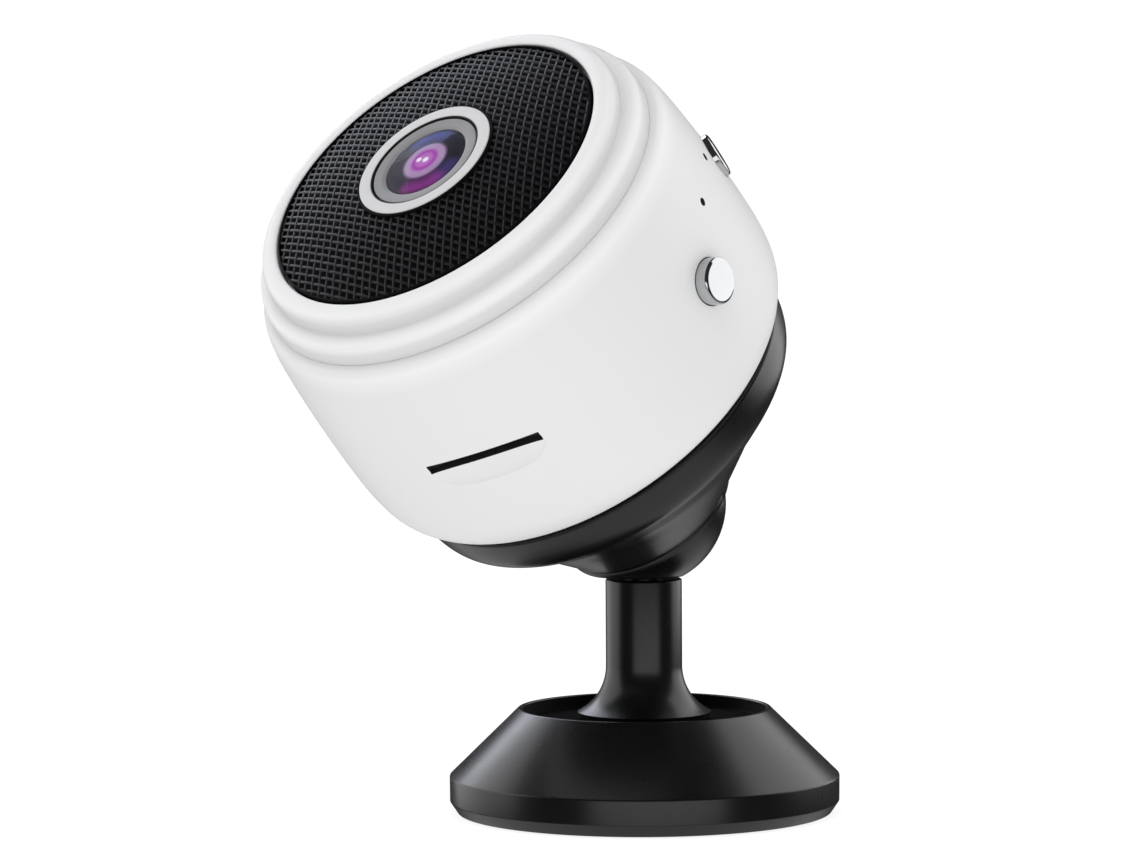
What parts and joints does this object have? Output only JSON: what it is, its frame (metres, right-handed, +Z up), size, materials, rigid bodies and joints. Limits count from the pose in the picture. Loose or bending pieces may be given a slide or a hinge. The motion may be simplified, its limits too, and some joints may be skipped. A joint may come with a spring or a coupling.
{
  "type": "security camera",
  "caption": "Palm-sized round camera with a lens in a black woven-look front panel, held by a magnet in a dish on a ball joint above a round weighted stand.",
  "frame": {"origin": "centre of the underside of the stand", "axes": "+Z up along the stem, the camera looks towards -Y and up, +X to the right of the stand seen from the lens side"},
  "size_m": [0.0464, 0.0601, 0.0753],
  "materials": {
    "white_plastic": "satin moulded ABS with soft highlights",
    "black_plastic": "smooth glossy black moulded plastic",
    "panel_black": "black panel with a fine woven pattern",
    "grey_plastic": "satin grey",
    "barrel_black": "matt black",
    "lens_glass": "coated optical glass with blue and magenta reflections",
    "chrome": "polished plating",
    "steel": "plain steel",
    "rubber": "matt rubber",
    "circuit_board": "solder-masked board",
    "chip_black": "moulded component body",
    "nickel": "nickel-plated metal",
    "led_clear": "clear moulded resin",
    "cell_silver": "foil pouch",
    "copper": "copper on a flexible film"
  },
  "bodies": {
    "stand": {"base_shell": "black_plastic", "base_weight": "steel", "base_pad": "rubber", "stem": "black_plastic", "stem_washer": "steel", "stem_screw": "steel"},
    "ball": {"ball": "black_plastic"},
    "dish": {"holder_dish": "black_plastic", "holder_magnet": "nickel"},
    "holder_pad": {"holder_pad": "rubber"},
    "camera_head": {"front_bezel": "white_plastic", "body_shell": "white_plastic", "back_cover": "white_plastic", "back_plate": "steel", "back_cover_screw_1": "steel", "back_cover_screw_2": "steel", "back_cover_screw_3": "steel", "front_panel": "panel_black", "lens_ring": "white_plastic", "lens_bezel": "grey_plastic", "lens_barrel": "barrel_black", "lens_front_glass": "lens_glass", "lens_aperture": "barrel_black", "lens_rear_glass": "lens_glass", "lens_holder": "barrel_black", "image_sensor": "chip_black", "ir_board": "circuit_board", "ir_led_1": "led_clear", "ir_led_2": "led_clear", "ir_led_3": "led_clear", "ir_led_4": "led_clear", "ir_led_5": "led_clear", "ir_led_6": "led_clear", "main_board": "circuit_board", "board_screw_1": "steel", "board_screw_2": "steel", "board_screw_3": "steel", "processor": "chip_black", "card_socket": "nickel", "usb_socket": "nickel", "battery": "cell_silver", "wifi_antenna": "copper", "microphone": "nickel", "status_led": "led_clear", "reset_switch": "chip_black", "power_switch": "chip_black"},
    "reset_button": {"reset_button": "chrome"},
    "power_button": {"power_button": "chrome"}
  },
  "joints": [
    {"name": "pan_swivel", "type": "hinge", "parent": "stand", "child": "ball", "pos_m": [0, 0, 0.03], "axis": [0, 0, 1], "continuous": true},
    {"name": "tilt", "type": "hinge", "parent": "ball", "child": "dish", "pos_m": [0, 0, 0.03], "axis": [1, 0, 0], "range_deg": [-99, 11]},
    {"name": "head_spin", "type": "hinge", "parent": "dish", "child": "holder_pad", "pos_m": [0, 0.00173, 0.03166], "axis": [0, -0.6934, 0.7206], "continuous": true},
    {"name": "head_lift", "type": "slide", "parent": "holder_pad", "child": "camera_head", "axis": [0, -0.6934, 0.7206], "range_m": [0, 0.03]},
    {"name": "reset_press", "type": "slide", "parent": "camera_head", "child": "reset_button", "axis": [-0.9914, -0.0941, -0.0905], "range_m": [0, 0.0005], "stiffness_N_per_m": 400, "springref_m": -0.001},
    {"name": "power_press", "type": "slide", "parent": "camera_head", "child": "power_button", "axis": [-0.6428, -0.552, -0.5312], "range_m": [0, 0.0005], "stiffness_N_per_m": 400, "springref_m": -0.001}
  ]
}
